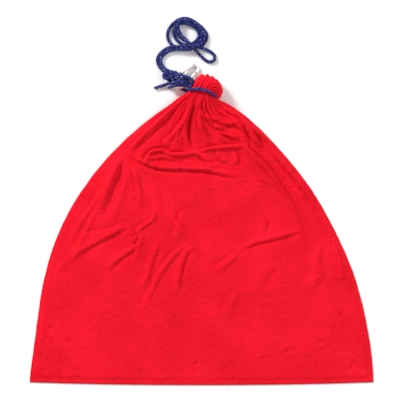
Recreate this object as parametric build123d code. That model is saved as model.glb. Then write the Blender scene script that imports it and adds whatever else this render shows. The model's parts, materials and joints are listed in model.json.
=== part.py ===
from build123d import *
import os
from math import asin, cos, radians, sin, tan

os.makedirs("parts", exist_ok=True)

# A large cloth bag, laid flat and empty, tied at its neck with a braided cord. X runs across
# the bag, Y from the hem to the neck, and Z up from the surface that it lies on. All in mm.
CORD = 8.0  # diameter of the braided cord
FLOOR = 0.1  # gap left under cords and the hook
ON_FLOOR = CORD / 2 + FLOOR  # height of a cord's centre on the surface
CLOTH = 0.9  # thickness of the cloth
HEM = 7.5  # depth of the seams and of the turned hem
SEAM = 0.4  # thickness of the seam allowance between the panels
HEM_LOW = -401.3  # lowest point of the hem
PANEL_TOP = 286.0  # where the flat panels pass into the gathered neck
LEAN = 12.5  # the neck leans this many degrees to the right of +Y

LEFT_SIDE = [(-429, -394), (-416, -289), (-391, -129), (-351, -9), (-294, 91), (-211, 191),
             (-119, 271), (-97, PANEL_TOP)]
RIGHT_SIDE = [(429, -391), (419, -289), (381, -129), (329, -9), (271, 91), (191, 191),
              (109, 271), (88, PANEL_TOP)]

# The snap hook is a pear of round bar, 80 mm long: the size known as 80 x 8.
BAR = 8.0  # bar diameter
WIDE_R = 16.0  # bend radius of the bar's centre at the wide end
SLIM_R = 9.5  # and at the slim end
BETWEEN = 46.5  # from the centre of one bend to the centre of the other
HOOK_TURN = 40.0  # the hook points this many degrees up from +X
HOOK_TILT = 9.5  # and its wide end is lifted by the cord under it
WIDE_AT = (-53.6, 358.1)  # centre of the wide bend
GATE = 7.2  # gate diameter
PIVOT_BACK = 4.5  # from the end of the slim bend to the gate's rivet
TONGUE_END = 3.8  # how far the hinge tongue passes the rivet
TONGUE = 3.2  # thickness of the tongues
SLOT = 3.6  # width of the gate's slots
GATE_END = 36.0  # from the rivet to the gate's free end
NOSE = 36.9  # from the rivet to the shoulder of the frame's nose
NOSE_TONGUE = 6.5
LATCH_AT = 33.5  # from the rivet to the latch pin
LATCH_R = 1.1
RIVET_R = 1.5
RUNNING = 0.05  # radial clearance of the rivet in the gate
BORE_R = 1.7  # spring bore in the gate
PLUNGER_R = 1.6
PLUNGER = 4.2  # length of the plunger
BORE_END = 18.0  # from the rivet to the bottom of the spring bore
SPRING_R = 1.15
SPRING_WIRE = 0.35
SPRING_TURNS = 8
HITCH_R = 8.5  # radius of the cord's turn around the bar
BALL = (18, 13.4)  # half length and radius of the knot at the end of the line
BALL_AT = (-80, 374.5, 13.6)
BALL_TURN = -20  # its long axis, in degrees from +X
SWING = (-5, 0, 4, 8)  # angles of the hook's swing that the knot leaves room for
SWING_ROOM = 0.45  # gap between the bar and the cord of the knot
TONGUE_WIDE = 7.0
NOSE_WIDE = 6.4
HINGE_SLOT = 5.8  # how far the gate's slots run from the rivet and from the free end
LATCH_SLOT = 6.8
LATCH_ROOM = 0.35  # gap round the latch pin in its notch
RIVET_HEAD = (2.4, 0.8)  # radius and thickness
CUTTER = 12.0  # longer than anything that it cuts through
TOUCH = 0.05  # gap between parts that meet
SEAL = 2.0  # length of the melted cap on a cut cord
SEAL_TAPER = 0.9
STITCH_R = 0.4
COIL_HIGH = 22.0
COIL_ROUND = 3.5
COIL_AT = (-35, 478, 0)  # the coil: its middle, half size and turn, then those of its eye
COIL_HALF = (57, 37)
COIL_TURN = -25
EYE_AT = (-32.5, 476, 0)
EYE_HALF = (24, 20)
EYE_TURN = -40
NODES = {}


def tube(points, name):
    """A cord along a route: straight runs joined by arcs as large as the runs allow."""
    route = [Vector(*p) for p in points]
    runs = [b - a for a, b in zip(route, route[1:])]
    radii = []
    for first, second in zip(runs, runs[1:]):
        half_turn = radians(first.get_angle(second)) / 2
        radii.append(0.45 * min(first.length, second.length) / tan(half_turn))
    path = FilletPolyline(*points, radius=radii)
    body = sweep(Plane(origin=path @ 0, z_dir=path % 0) * Circle(CORD / 2), path=path)
    expected = Circle(CORD / 2).area * path.length
    print(name, "length", round(path.length), "volume ratio", round(body.volume / expected, 4))
    print("  radii", [round(r) for r in radii], "runs", [round(r.length) for r in runs])
    return body


def seal(end, inside):
    """The melted cap on a cut cord: a short taper at the end of a route."""
    away = (Vector(*end) - Vector(*inside)).normalized()
    base = Plane(origin=Vector(*end) + away * TOUCH, z_dir=away)
    tip = Plane(origin=Vector(*end) + away * SEAL, z_dir=away)
    return loft([base * Circle(CORD / 2), tip * Circle(CORD / 2 - SEAL_TAPER)])


def ellipse_at(centre, half, turn=0.0):
    """A neck section: an upright ellipse across the bag, turned about Z."""
    across = (cos(radians(turn)), -sin(radians(turn)), 0)
    along = (sin(radians(turn)), cos(radians(turn)), 0)
    return Plane(origin=centre, x_dir=across, z_dir=along) * Ellipse(*half)


def outline(inset=0.0):
    """The bag's flat outline, or one pulled in by the depth of a seam."""
    left = [(x + inset, y) for x, y in LEFT_SIDE]
    right = [(x - inset, y) for x, y in RIGHT_SIDE]
    left[0] = (left[0][0], left[0][1] + inset)
    right[0] = (right[0][0], right[0][1] + inset)
    hem = ThreePointArc(left[0], (0, HEM_LOW + inset), right[0])
    edges = [hem, Spline(right), Line(right[-1], left[-1]), Spline(left[::-1])]
    return make_face(edges)


def panels():
    """Two layers of cloth with their seam allowance between them."""
    NODES["back_panel"] = extrude(outline(), amount=CLOTH)
    ring = extrude(outline() - outline(HEM), amount=SEAM)
    ring = Pos(0, 0, CLOTH) * ring
    side = Box(600, 700, 10, align=(Align.MIN, Align.MIN, Align.CENTER))
    low = HEM_LOW + 3 * HEM
    NODES["right_seam"] = ring & (Pos(0, low, 0) * side)
    NODES["left_seam"] = ring & (Pos(-600, low, 0) * side)
    hem_box = Box(1000, 60, 10, align=(Align.CENTER, Align.MAX, Align.CENTER))
    NODES["hem_fold"] = ring & (Pos(0, low - 0.2, 0) * hem_box)
    NODES["front_panel"] = crown() & extrude(outline(), amount=60)
    stitch_y = HEM_LOW + HEM
    stitch = ThreePointArc((-422, -394 + HEM), (0, stitch_y), (422, -391 + HEM))
    start = Plane(origin=stitch @ 0, z_dir=stitch % 0)
    thread = sweep(start * Circle(STITCH_R), path=stitch)
    NODES["hem_thread"] = Pos(0, 0, 2 * CLOTH + SEAM + 0.9) * thread


def crown():
    """The upper layer, which rises from the hem to the bunched cloth at the neck."""
    base = CLOTH + SEAM
    low = base + CLOTH
    sections = []
    stations = [(-402, -433, 433, low), (-385, -431, 431, low), (-200, -408, 408, 5),
                (0, -350, 328, 9), (120, -276, 254, 15), (210, -195, 179, 22),
                (PANEL_TOP, -99, 90, 31)]
    for y, left, right, high in stations:
        wide = right - left
        shape = [(0, 0), (0.22, 0.78), (0.5, 1), (0.78, 0.78), (1, 0)]
        upper = [(left + wide * s, low + (high - low) * t) for s, t in shape]
        lower = [(x, z - CLOTH) for x, z in upper]
        over = [Vector(x, y, z) for x, z in upper]
        under = [Vector(x, y, z) for x, z in lower]
        edges = [Spline(over), Line(over[-1], under[-1]), Spline(under[::-1]),
                 Line(under[0], over[0])]
        sections.append(make_face(edges))
    return loft(sections)


def neck():
    """The bunched cloth through the tie, and the ruff that spreads above it."""
    NODES["neck_gather"] = loft([
        ellipse_at((-4.5, PANEL_TOP + 0.3, 16), (92, 15.2)),
        ellipse_at((-6, 306, 20.5), (62, 19.5), 4),
        ellipse_at((0, 328, 26.2), (31, 17.4), LEAN),
        ellipse_at((8, 338, 26), (30, 20), LEAN)])
    NODES["neck_ruff"] = loft([
        ellipse_at((8.4, 339.5, 26), (30, 20), LEAN),
        ellipse_at((18, 349, 25), (36, 23), LEAN),
        ellipse_at((19, 359, 24), (32, 22), LEAN),
        ellipse_at((15, 372, 22), (14, 11), LEAN)])


def hook():
    """The snap hook, built flat about the centre of its wide bend and then set down."""
    lean = asin((WIDE_R - SLIM_R) / BETWEEN)
    wide_t = Vector(WIDE_R * sin(lean), WIDE_R * cos(lean))
    slim_t = Vector(BETWEEN + SLIM_R * sin(lean), SLIM_R * cos(lean))
    wide_g = Vector(wide_t.X, -wide_t.Y)
    slim_g = Vector(slim_t.X, -slim_t.Y)
    along = Vector(-cos(lean), -sin(lean))
    pivot = slim_g + along * PIVOT_BACK
    nose = pivot + along * NOSE
    bar = [ThreePointArc(slim_g, (BETWEEN + SLIM_R, 0), slim_t), Line(slim_t, wide_t),
           ThreePointArc(wide_t, (-WIDE_R, 0), wide_g), Line(wide_g, nose)]
    path = Wire(bar)
    frame = sweep(Plane(origin=path @ 0, z_dir=path % 0) * Circle(BAR / 2), path=path)
    gate_plane = Plane(origin=pivot, x_dir=along, z_dir=(0, 0, 1))
    back = (Align.MAX, Align.CENTER, Align.CENTER)
    ahead = (Align.MIN, Align.CENTER, Align.CENTER)
    tongue = Box(PIVOT_BACK + TONGUE_END + 1, TONGUE_WIDE, TONGUE, align=back)
    frame += gate_plane * Pos(TONGUE_END, 0, 0) * tongue
    tip = Box(NOSE_TONGUE + 1, NOSE_WIDE, TONGUE, align=ahead)
    frame += gate_plane * Pos(NOSE - NOSE_TONGUE, 0, 0) * tip
    frame -= gate_plane * Cylinder(RIVET_R, CUTTER)
    room = LATCH_R + LATCH_ROOM
    notch = Cylinder(room, CUTTER) + Pos(0, -3, 0) * Box(2 * room, 6, CUTTER)
    frame -= gate_plane * Pos(LATCH_AT, 0, 0) * notch

    ear = GATE / 2
    rod = Pos(GATE_END / 2, 0, 0) * Rot(0, 90, 0) * Cylinder(ear, GATE_END)
    rod += Sphere(ear)
    rod = rod - Box(2 * HINGE_SLOT, CUTTER, SLOT)
    rod -= Pos(GATE_END, 0, 0) * Box(2 * LATCH_SLOT, CUTTER, SLOT)
    rod -= Cylinder(RIVET_R + RUNNING, CUTTER)
    rod -= Pos(LATCH_AT, 0, 0) * Cylinder(LATCH_R, CUTTER)
    upright = (Align.CENTER, Align.CENTER, Align.MIN)
    rod -= Rot(0, 90, 0) * Cylinder(BORE_R, BORE_END, align=upright)
    head = Pos(0, 0, ear + 0.5) * Cylinder(*RIVET_HEAD)
    rivet = Cylinder(RIVET_R, GATE + 1) + head + mirror(head, Plane.XY)
    plunger_at = TONGUE_END + TOUCH
    plunger = Pos(plunger_at, 0, 0) * Rot(0, 90, 0) * Cylinder(PLUNGER_R, PLUNGER, align=upright)
    spring_at = plunger_at + PLUNGER + 0.3
    spring_long = BORE_END - 0.3 - spring_at
    coil = Helix(spring_long / SPRING_TURNS, spring_long, SPRING_R)
    wire = Plane(origin=coil @ 0, z_dir=coil % 0) * Circle(SPRING_WIRE / 2)
    spring = Pos(spring_at, 0, 0) * Rot(0, 90, 0) * sweep(wire, path=coil, is_frenet=True)
    flat = {"hook_frame": frame}
    latch = Pos(LATCH_AT, 0, 0) * Cylinder(LATCH_R, 7)
    placed = {"hook_gate": rod, "gate_rivet": rivet, "latch_pin": latch,
              "spring_plunger": plunger, "gate_spring": spring}
    flat.update({name: gate_plane * shape for name, shape in placed.items()})

    turn, tilt = radians(HOOK_TURN), radians(HOOK_TILT)
    rise = BAR / 2 + FLOOR + (BETWEEN + SLIM_R) * sin(tilt)
    ahead_dir = (cos(turn) * cos(tilt), sin(turn) * cos(tilt), -sin(tilt))
    normal = (cos(turn) * sin(tilt), sin(turn) * sin(tilt), cos(tilt))
    seat = Plane(origin=(*WIDE_AT, rise), x_dir=ahead_dir, z_dir=normal)
    NODES.update({name: seat * shape for name, shape in flat.items()})
    hold = wide_t + (slim_t - wide_t).normalized() * 2
    for label, spot in (("hook hold", hold), ("gate pivot", pivot), ("slim bend", Vector(BETWEEN, 0))):
        print(label, [round(v, 3) for v in seat.from_local_coords(spot)])
    print("gate runs", [round(v, 5) for v in seat.from_local_coords(along) - seat.origin])
    print("hook normal", [round(v, 5) for v in seat.z_dir])
    run = seat * Plane(origin=hold, x_dir=(0, 0, 1), z_dir=(slim_t - wide_t).normalized())
    return seat, hold, path, run


def knot(seat, hold, path, run):
    """The knot that ends the line: a ball with one turn of cord round the hook's bar."""
    long, thick = BALL
    half = Ellipse(long, thick) & (Pos(0, thick) * Rectangle(4 * long, 2 * thick))
    ball = Pos(*BALL_AT) * Rot(0, 0, BALL_TURN) * revolve(half, Axis.X)
    shape = ball + run * Torus(HITCH_R, CORD / 2)
    for angle in SWING:
        bar = sweep(Plane(origin=path @ 0, z_dir=path % 0) * Circle(BAR / 2 + SWING_ROOM), path=path)
        swung = Pos(*hold) * Rot(0, 0, angle) * Pos(-hold.X, -hold.Y, 0) * bar
        shape -= seat * swung
    pieces = shape.solids().sort_by(lambda solid: solid.volume)
    NODES["hitch_knot"] = pieces[-1]


# The cord that ties the neck: from its long tail over the hook, under the neck, round its right
# side and over it, up across the lashing, and back to the knot.
NECK_TIE = [(-116, 341, ON_FLOOR), (-103, 345, ON_FLOOR), (-91, 349, 8), (-79, 352, 21.5),
            (-66, 355, 27), (-50, 356.6, 25.6), (-35, 355.5, 22.4), (-23, 349.6, 15), (-20, 341.6, 7),
            (-13, 334, ON_FLOOR), (3, 331, ON_FLOOR), (19, 327, ON_FLOOR), (32, 322, 8),
            (38, 318, 21), (34, 319, 37), (22, 326, 46), (6, 332, 49), (-11, 335, 48),
            (-25, 335, 42), (-32, 338, 34), (-28, 346, 31), (-22, 354, 32), (-24, 363, 32),
            (-34, 367, 29.5), (-45, 371, 27.5), (-55, 376.5, 24)]
# The short tail lies over the hook, turns down beside it, and comes back under it to the knot.
LASHING = [(-81, 341.5, 16), (-72, 345, 23.5), (-61, 347.5, 26), (-48, 348, 23.5), (-36, 346.5, 21),
           (-28, 342, 16), (-29, 335, 8), (-38, 334, ON_FLOOR), (-49, 339, ON_FLOOR),
           (-60, 346, ON_FLOOR), (-67, 356, ON_FLOOR), (-74, 366, 5)]
# A third strand from the knot is tucked under the cord that crosses the lashing.
TUCKED = [(-67, 367, 24), (-57, 364.3, 24.5), (-46, 363.5, 23), (-36, 363.5, 21.5), (-27, 362, 21.5)]
# The line is one cord, doubled. Its two halves leave the knot side by side for the coil, and
# its far end is a bight that lies clear of the coil.
LEAD_OUTER = [(-95, 383, 9), (-102, 390, 5), (-108, 399, ON_FLOOR), (-111.5, 412, ON_FLOOR),
              (-107, 425, ON_FLOOR), (-97, 435, ON_FLOOR), (-84, 442, ON_FLOOR),
              (-69, 444.5, ON_FLOOR), (-55, 444.5, ON_FLOOR)]
LEAD_INNER = [(-89, 386, 15), (-95, 391, 13), (-99.5, 398, 9), (-103, 408, 5),
              (-101, 419, ON_FLOOR), (-92, 429, ON_FLOOR), (-79, 435, ON_FLOOR),
              (-64, 437, ON_FLOOR), (-50, 436.5, ON_FLOOR)]
BIGHT = [(-4, 443, 12), (8, 439.5, 5.5), (19, 434.5, ON_FLOOR), (28, 428, ON_FLOOR),
         (33.5, 419.5, ON_FLOOR), (31, 410.5, ON_FLOOR), (22, 406.5, ON_FLOOR),
         (12, 409, ON_FLOOR), (3, 416, ON_FLOOR), (-5, 425, 6), (-12.5, 434, 12),
         (-20, 443, 20)]


def cords():
    for name, route in (("neck_tie", NECK_TIE), ("lashing_cord", LASHING), ("tucked_strand", TUCKED),
                        ("line_lead_outer", LEAD_OUTER), ("line_lead_inner", LEAD_INNER),
                        ("line_bight", BIGHT)):
        NODES[name] = tube(route, name)
    NODES["long_tail_seal"] = seal(NECK_TIE[0], NECK_TIE[1])
    NODES["short_tail_seal"] = seal(LASHING[0], LASHING[1])
    ring = Pos(*COIL_AT) * Rot(0, 0, COIL_TURN) * extrude(Ellipse(*COIL_HALF), amount=COIL_HIGH)
    eye = Pos(*EYE_AT) * Rot(0, 0, EYE_TURN) * extrude(Ellipse(*EYE_HALF), amount=COIL_HIGH)
    coil = ring - eye
    rims = coil.faces().filter_by(Plane.XY).edges()
    NODES["line_coil"] = Pos(0, 0, FLOOR) * fillet(rims, COIL_ROUND)


panels()
neck()
knot(*hook())
cords()
for node, shape in NODES.items():
    export_step(shape, f"parts/{node}.step")
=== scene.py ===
import json
import math

import bpy
import numpy as np
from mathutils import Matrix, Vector


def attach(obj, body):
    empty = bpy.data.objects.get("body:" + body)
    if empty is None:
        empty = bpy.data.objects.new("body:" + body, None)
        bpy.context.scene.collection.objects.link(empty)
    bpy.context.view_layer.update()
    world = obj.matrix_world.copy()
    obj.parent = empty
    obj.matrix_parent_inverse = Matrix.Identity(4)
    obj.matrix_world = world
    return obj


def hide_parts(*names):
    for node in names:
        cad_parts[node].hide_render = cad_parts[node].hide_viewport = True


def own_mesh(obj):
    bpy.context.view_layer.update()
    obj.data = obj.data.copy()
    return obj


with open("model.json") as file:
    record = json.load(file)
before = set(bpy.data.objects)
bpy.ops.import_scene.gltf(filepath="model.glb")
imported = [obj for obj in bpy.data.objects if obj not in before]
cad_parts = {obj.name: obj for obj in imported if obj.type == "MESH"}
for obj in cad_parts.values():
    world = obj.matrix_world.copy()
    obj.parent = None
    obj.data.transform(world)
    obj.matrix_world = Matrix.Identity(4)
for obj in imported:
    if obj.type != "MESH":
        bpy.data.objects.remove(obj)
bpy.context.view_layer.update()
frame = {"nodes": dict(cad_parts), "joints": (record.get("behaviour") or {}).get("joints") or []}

MM = 0.001
CORD = 8 * MM
ON_FLOOR = 4.1  # height of a cord's centre on the floor, mm
FLOOR_Z = -0.0002
VIEW_ACROSS = 1.0  # width of the floor that the camera sees, m
CAMERA_HIGH = 8.0
SENSOR = 36.0
VIEW_SHIFT = (-3.75 * MM, 61.25 * MM)  # the view's middle, from the frame's origin
FLOOR_HALF = 4.0  # half the floor's side, m
FLOOR_TONE = (0.92, 0.92, 0.92, 1)
SKY = 0.53  # brightness of the even light from all round
# The lamps: place and width in metres, power in watts.
KEY_LIGHT = ((-4.6, 4.6, 4.0), 2.2, 560)
FILL_LIGHT = ((4.4, 1.4, 4.2), 3.4, 120)


def millimetres(points):
    """Points stated in mm, in metres."""
    return [tuple(c * MM for c in p) for p in points]


def placed(name, data):
    """An object that holds the data, in the scene."""
    thing = bpy.data.objects.new(name, data)
    bpy.context.scene.collection.objects.link(thing)
    return thing


def level_square(name, half, height):
    """A level square about the origin, in metres."""
    mesh = bpy.data.meshes.new(name)
    corners = [(-half, -half, height), (half, -half, height), (half, half, height), (-half, half, height)]
    mesh.from_pydata(corners, [], [(0, 1, 2, 3)])
    return placed(name, mesh)


# ---------------------------------------------------------------- camera, floor and light
def camera():
    """A camera that looks straight down from high up."""
    data = bpy.data.cameras.new("camera")
    data.sensor_width = SENSOR
    data.lens = SENSOR * CAMERA_HIGH / VIEW_ACROSS
    data.clip_end = 50
    eye = placed("camera", data)
    eye.location = (*VIEW_SHIFT, CAMERA_HIGH)
    bpy.context.scene.camera = eye


def area_light(name, at, size, power):
    """A round soft lamp that points at the origin."""
    data = bpy.data.lights.new(name, "AREA")
    data.shape = "DISK"
    data.size = size
    data.energy = power
    lamp = placed(name, data)
    lamp.location = at
    lamp.rotation_euler = (-Vector(at)).to_track_quat("-Z", "Y").to_euler()


def studio():
    """A pale floor under an even sky, a key lamp at the upper left and a weak fill at the right."""
    floor = level_square("floor", FLOOR_HALF, FLOOR_Z)
    mat, bsdf, _, _ = new_material("pale_floor")
    bsdf.inputs["Base Color"].default_value = FLOOR_TONE
    bsdf.inputs["Roughness"].default_value = 0.9
    floor.data.materials.append(mat)
    world = bpy.data.worlds.new("studio")
    world.use_nodes = True
    background = world.node_tree.nodes["Background"]
    background.inputs["Color"].default_value = (1.0, 1.0, 1.0, 1)
    background.inputs["Strength"].default_value = SKY
    bpy.context.scene.world = world
    area_light("key", *KEY_LIGHT)
    area_light("fill", *FILL_LIGHT)
    view = bpy.context.scene.view_settings
    view.view_transform = "Standard"
    view.look = "None"


# ---------------------------------------------------------------- materials
def new_material(name):
    """A node material, its shader, and its nodes and links."""
    mat = bpy.data.materials.new(name)
    mat.use_nodes = True
    nodes, links = mat.node_tree.nodes, mat.node_tree.links
    return mat, nodes["Principled BSDF"], nodes, links


def math_node(nodes, links, operation, first, second=None):
    """A math node's result from one or two values, each a number or a socket."""
    node = nodes.new("ShaderNodeMath")
    node.operation = operation
    for socket, value in zip(node.inputs, (first, second)):
        if value is None:
            continue
        if isinstance(value, (int, float)):
            socket.default_value = value
        else:
            links.new(value, socket)
    return node.outputs[0]


def noise(nodes, links, place, scale, detail):
    """Noise over a place."""
    node = nodes.new("ShaderNodeTexNoise")
    node.inputs["Scale"].default_value = scale
    node.inputs["Detail"].default_value = detail
    links.new(place, node.inputs["Vector"])
    return node


def object_place(nodes):
    return nodes.new("ShaderNodeTexCoord").outputs["Object"]


def stretched(nodes, links, place, scale, turn=0.0):
    """A place drawn out by a different scale each way, and turned about Z."""
    node = nodes.new("ShaderNodeMapping")
    node.inputs["Rotation"].default_value = (0, 0, turn)
    node.inputs["Scale"].default_value = scale
    links.new(place, node.inputs["Vector"])
    return node.outputs[0]


def colour_by(nodes, links, bsdf, value, stops):
    """Colour the surface by a value: each stop is the value's place and its colour."""
    ramp = nodes.new("ShaderNodeValToRGB")
    elements = ramp.color_ramp.elements
    for index, (position, colour) in enumerate(stops):
        element = elements[index] if index < 2 else elements.new(position)
        element.position = position
        element.color = colour
    links.new(value, ramp.inputs[0])
    links.new(ramp.outputs[0], bsdf.inputs["Base Color"])


def bump(nodes, links, height, strength, distance, under=None):
    """A bumped normal, over another one if there is one."""
    node = nodes.new("ShaderNodeBump")
    node.inputs["Strength"].default_value = strength
    node.inputs["Distance"].default_value = distance
    links.new(height, node.inputs["Height"])
    if under is not None:
        links.new(under, node.inputs["Normal"])
    return node.outputs[0]


BRAID_STRANDS = 8  # strands that run each way round the cord
BRAID_TURN = 27.0  # length of cord for one turn of a strand, mm
# The strands' colours: the darkest, the two usual blues, and the pale fleck of a light yarn.
NAVY = [(0.0, (0.003, 0.004, 0.034, 1)), (0.55, (0.016, 0.022, 0.145, 1)),
        (0.9, (0.028, 0.036, 0.20, 1)), (0.97, (0.17, 0.19, 0.42, 1))]


def cord_material():
    """Braided polyester: each strand's own tone, with pale flecks where a light yarn comes up."""
    mat, bsdf, nodes, links = new_material("navy_braid")
    uv = nodes.new("ShaderNodeUVMap")
    uv.uv_map = "braid"
    split = nodes.new("ShaderNodeSeparateXYZ")
    links.new(uv.outputs[0], split.inputs[0])
    along, around = split.outputs[0], split.outputs[1]
    rising = math_node(nodes, links, "FLOOR", math_node(nodes, links, "ADD", along, around))
    falling = math_node(nodes, links, "FLOOR", math_node(nodes, links, "SUBTRACT", along, around))
    cell = nodes.new("ShaderNodeCombineXYZ")
    links.new(rising, cell.inputs[0])
    links.new(falling, cell.inputs[1])
    tone = nodes.new("ShaderNodeTexWhiteNoise")
    links.new(cell.outputs[0], tone.inputs[0])
    colour_by(nodes, links, bsdf, tone.outputs[0], NAVY)
    bsdf.inputs["Roughness"].default_value = 0.7
    bsdf.inputs["Specular IOR Level"].default_value = 0.1
    bsdf.inputs["Sheen Weight"].default_value = 0.05
    yarn = noise(nodes, links, object_place(nodes), 2600, 3)
    links.new(bump(nodes, links, yarn.outputs[0], 0.3, 0.3 * MM), bsdf.inputs["Normal"])
    return mat


def smooth_piece(name, mesh, material):
    """A smoothly shaded piece made of a mesh and a material."""
    mesh.polygons.foreach_set("use_smooth", [True] * len(mesh.polygons))
    mesh.materials.append(material)
    return placed(name, mesh)


# ---------------------------------------------------------------- cords
LINE_STEP = 0.8 * MM  # from one point of a cord's middle line to the next


def smooth_line(name, route):
    """Points an even step apart along a NURBS spline whose control points are the route."""
    data = bpy.data.curves.new(name, "CURVE")
    data.dimensions = "3D"
    spline = data.splines.new("NURBS")
    spline.points.add(len(route) - 1)
    for point, at in zip(spline.points, route):
        point.co = (*at, 1)
    spline.order_u = 3
    spline.use_endpoint_u = True
    spline.resolution_u = 24
    holder = bpy.data.objects.new(name, data)
    mesh = bpy.data.meshes.new_from_object(holder)
    dense = np.array([v.co[:] for v in mesh.vertices])
    bpy.data.objects.remove(holder)
    return evenly(dense)


def run_of(points):
    """How far along a line each of its points is."""
    return np.r_[0, np.cumsum(np.linalg.norm(np.diff(points, axis=0), axis=1))]


def at_run(places, run, values):
    """The values at some places along a line, from those at its points."""
    return np.stack([np.interp(places, run, values[:, axis]) for axis in range(3)], axis=-1)


def evenly(points):
    """The same line with its points an even step apart."""
    keep = np.r_[True, np.linalg.norm(np.diff(points, axis=0), axis=1) > 1e-7]
    points = points[keep]
    run = run_of(points)
    return at_run(np.linspace(0, run[-1], max(8, int(run[-1] / LINE_STEP))), run, points)


def line_frames(points, closed=False):
    """A tangent and two side directions at each point that turn as little as they can."""
    tangent = np.gradient(points, axis=0)
    if closed:
        tangent = np.roll(points, -1, axis=0) - np.roll(points, 1, axis=0)
    tangent /= np.linalg.norm(tangent, axis=1)[:, None]
    side = np.zeros_like(points)
    start = np.cross(tangent[0], (0.0, 0.0, 1.0))
    if np.linalg.norm(start) < 1e-3:
        start = np.cross(tangent[0], (0.0, 1.0, 0.0))
    side[0] = start / np.linalg.norm(start)
    for i in range(1, len(points)):
        carried = side[i - 1] - tangent[i] * np.dot(side[i - 1], tangent[i])
        side[i] = carried / np.linalg.norm(carried)
    return tangent, side, np.cross(tangent, side)


AROUND = 32  # faces round a cord
STRAND_SUNK = 0.38 * MM  # how far the cord's surface between the strands lies inside its radius
STRAND_HIGH = 0.5 * MM


def braided(name, points, material, closed=False):
    """A braided cord along a line: strands cross over and under each other all round it."""
    _, side, up = line_frames(points, closed)
    count = len(points)
    step = np.linalg.norm(np.diff(points, axis=0), axis=1)
    run = np.r_[0, np.cumsum(step)]
    turn = BRAID_TURN * MM
    if closed:
        whole = run[-1] + np.linalg.norm(points[-1] - points[0])
        turn = whole / max(1, round(whole / turn))
    angle = np.linspace(0, 2 * math.pi, AROUND, endpoint=False)
    along = run[:, None] / turn * BRAID_STRANDS
    around = angle[None, :] / (2 * math.pi) * BRAID_STRANDS
    rising, falling = along + around, along - around
    over = (np.floor(rising) + np.floor(falling)) % 2 < 0.5
    across = np.where(over, rising, falling) % 1.0
    length = np.where(over, falling, rising) % 1.0
    height = np.sin(math.pi * across) ** 0.7 * (0.55 + 0.45 * np.sin(math.pi * length))
    radius = CORD / 2 - STRAND_SUNK + STRAND_HIGH * height
    ring = np.cos(angle)[:, None] * side[:, None] + np.sin(angle)[:, None] * up[:, None]
    verts = (points[:, None] + ring * radius[:, :, None]).reshape(-1, 3)
    rows = count if closed else count - 1
    i, j = np.meshgrid(np.arange(rows), np.arange(AROUND), indexing="ij")
    nxt, right = (i + 1) % count, (j + 1) % AROUND
    faces = np.stack([i * AROUND + j, i * AROUND + right, nxt * AROUND + right, nxt * AROUND + j], axis=-1)
    faces = faces.reshape(-1, 4).tolist()
    if not closed:
        faces.append(list(range(AROUND))[::-1])
        faces.append(list(range((count - 1) * AROUND, count * AROUND)))
    mesh = bpy.data.meshes.new(name)
    mesh.from_pydata(verts.tolist(), [], faces)
    layer = mesh.uv_layers.new(name="braid")
    near, low = along[:, 0][i], around[0][j]
    far, high = near + step.mean() / turn * BRAID_STRANDS, low + BRAID_STRANDS / AROUND
    corners = [np.stack(corner, axis=-1) for corner in ((near, low), (near, high), (far, high), (far, low))]
    loops = np.stack(corners, axis=2).reshape(-1, 2)
    flat = np.zeros((len(mesh.loops), 2))
    flat[:len(loops)] = loops
    layer.data.foreach_set("uv", flat.ravel())
    return smooth_piece(name, mesh, material)


# The routes of the cords, in mm. They are the CAD's, apart from the front of the neck tie, which
# follows the photo and lies up to about 4 mm away from the CAD's.
NECK_TIE = [(-116, 341, ON_FLOOR), (-103, 345, ON_FLOOR), (-91, 349, 8), (-79, 352, 21.5),
            (-66, 355, 27), (-50, 356.6, 25.6), (-35, 355.5, 22.4), (-23, 349.6, 15), (-20, 341.6, 7),
            (-13, 334, ON_FLOOR), (3, 331, ON_FLOOR), (19, 327, ON_FLOOR), (32, 322, 8),
            (38, 318, 21), (35, 319, 38), (23, 328.5, 48), (7, 335, 51), (-10, 338, 50),
            (-25, 335, 44), (-33, 336, 35), (-28, 345, 31), (-22, 354, 32), (-24, 363, 32),
            (-34, 367, 29.5), (-45, 371, 27.5), (-55, 376.5, 24)]
LASHING = [(-81, 341.5, 16), (-72, 345, 23.5), (-61, 347.5, 26), (-48, 348, 23.5), (-36, 346.5, 21),
           (-28, 342, 16), (-29, 335, 8), (-38, 334, ON_FLOOR), (-49, 339, ON_FLOOR),
           (-60, 346, ON_FLOOR), (-67, 356, ON_FLOOR), (-74, 366, 5)]
TUCKED = [(-67, 367, 24), (-57, 364.3, 24.5), (-46, 363.5, 23), (-36, 363.5, 21.5), (-27, 362, 21.5)]
LEAD_OUTER = [(-95, 383, 9), (-102, 390, 5), (-108, 399, ON_FLOOR), (-111, 412, ON_FLOOR),
              (-106, 424, ON_FLOOR), (-96.5, 434, 4.6), (-84, 441.5, 8), (-70, 444.5, 12.2),
              (-56, 444, 12.3), (-45, 442, 12)]
LEAD_INNER = [(-89, 386, 15), (-95, 391, 13), (-99.5, 398, 9), (-103, 408, 5),
              (-100, 418, ON_FLOOR), (-91, 427.5, ON_FLOOR), (-79, 434.5, 6), (-66, 437.5, 9.5),
              (-53, 437.5, 12), (-44, 436.8, 12.2)]
COIL_MIDDLE = (-33.75, 476.25)
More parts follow.
